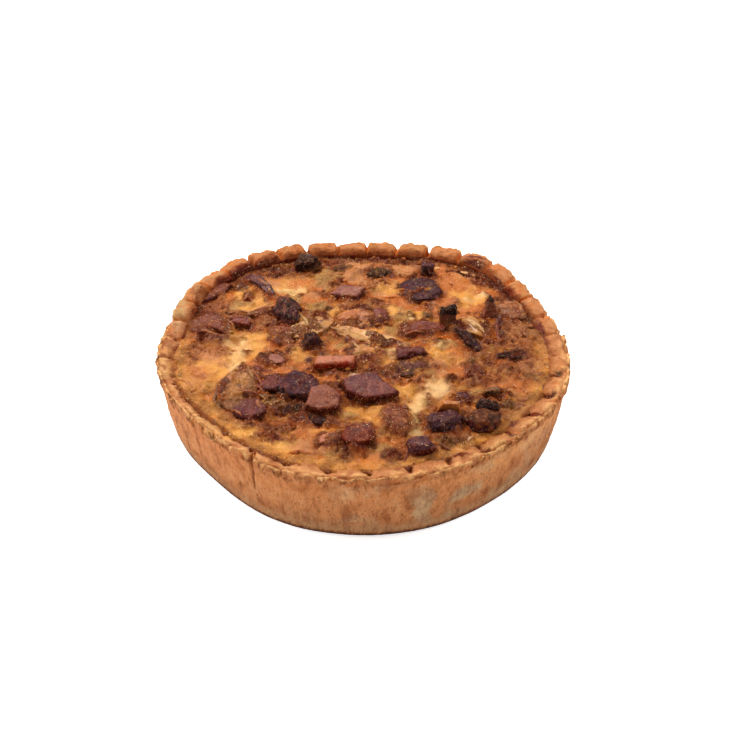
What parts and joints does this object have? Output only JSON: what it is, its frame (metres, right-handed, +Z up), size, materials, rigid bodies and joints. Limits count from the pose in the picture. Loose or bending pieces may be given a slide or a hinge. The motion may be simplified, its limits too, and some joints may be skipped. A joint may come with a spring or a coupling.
{
  "type": "quiche",
  "caption": "Small round quiche in a crimped shortcrust case, its baked filling studded with ham, mushroom, leek and onion.",
  "frame": {"origin": "middle of the flat base, at the middle of the quiche's outline", "axes": "+Z up out of the filling; the front, where the split in the wall shows, faces -Y"},
  "size_m": [0.1172, 0.1192, 0.0264],
  "materials": {
    "pastry": "matte, baked, crumbly",
    "egg_filling": "satin, baked, with glossy fat in places",
    "ham": "satin, browned, with wet red edges",
    "mushroom": "wrinkled, dark, with oily highlights",
    "leek": "fibrous, translucent, browned at its edges",
    "onion": "soft, caramelised, glossy",
    "burnt_edge": "charred, glossy black"
  },
  "bodies": {
    "root": {"crust": "pastry", "filling": "egg_filling", "leek_knot_back": "burnt_edge", "leek_crust_back": "burnt_edge", "mushroom_back": "mushroom", "stalk_back": "mushroom", "ham_back": "ham", "leek_curl_back": "leek", "ham_strip_left": "ham", "mushroom_ridge": "mushroom", "leek_fold_left": "leek", "onion_left": "onion", "ham_dice_left": "ham", "onion_rim_left": "onion", "leek_petal_left": "leek", "leek_burnt_wedge": "burnt_edge", "ham_flush_left": "ham", "onion_middle": "onion", "ham_end_middle": "ham", "leek_petal_middle": "leek", "leek_crumple_middle": "leek", "ham_bar": "ham", "mushroom_upper": "mushroom", "mushroom_flap": "mushroom", "ham_broad": "ham", "leek_fleck_middle": "leek", "ham_strip_right": "ham", "leek_end_standing": "burnt_edge", "leek_petal_right": "leek", "leek_tip_standing": "mushroom", "leek_curl_right": "burnt_edge", "onion_rim_right": "onion", "leek_boat_right": "burnt_edge", "mushroom_rings": "mushroom", "mushroom_gills": "mushroom", "leek_thicket_front": "leek", "mushroom_button_left": "mushroom", "ham_square": "ham", "crumbs_under_ham": "burnt_edge", "ham_knob_middle": "ham", "ham_knob_right": "ham", "onion_scrap_front": "onion", "onion_front": "onion", "mushroom_front": "mushroom", "onion_flap": "onion", "mushroom_right": "mushroom", "burnt_cap_right": "burnt_edge", "leek_crinkle_right": "leek", "mushroom_scrap_right": "mushroom"}
  },
  "joints": []
}
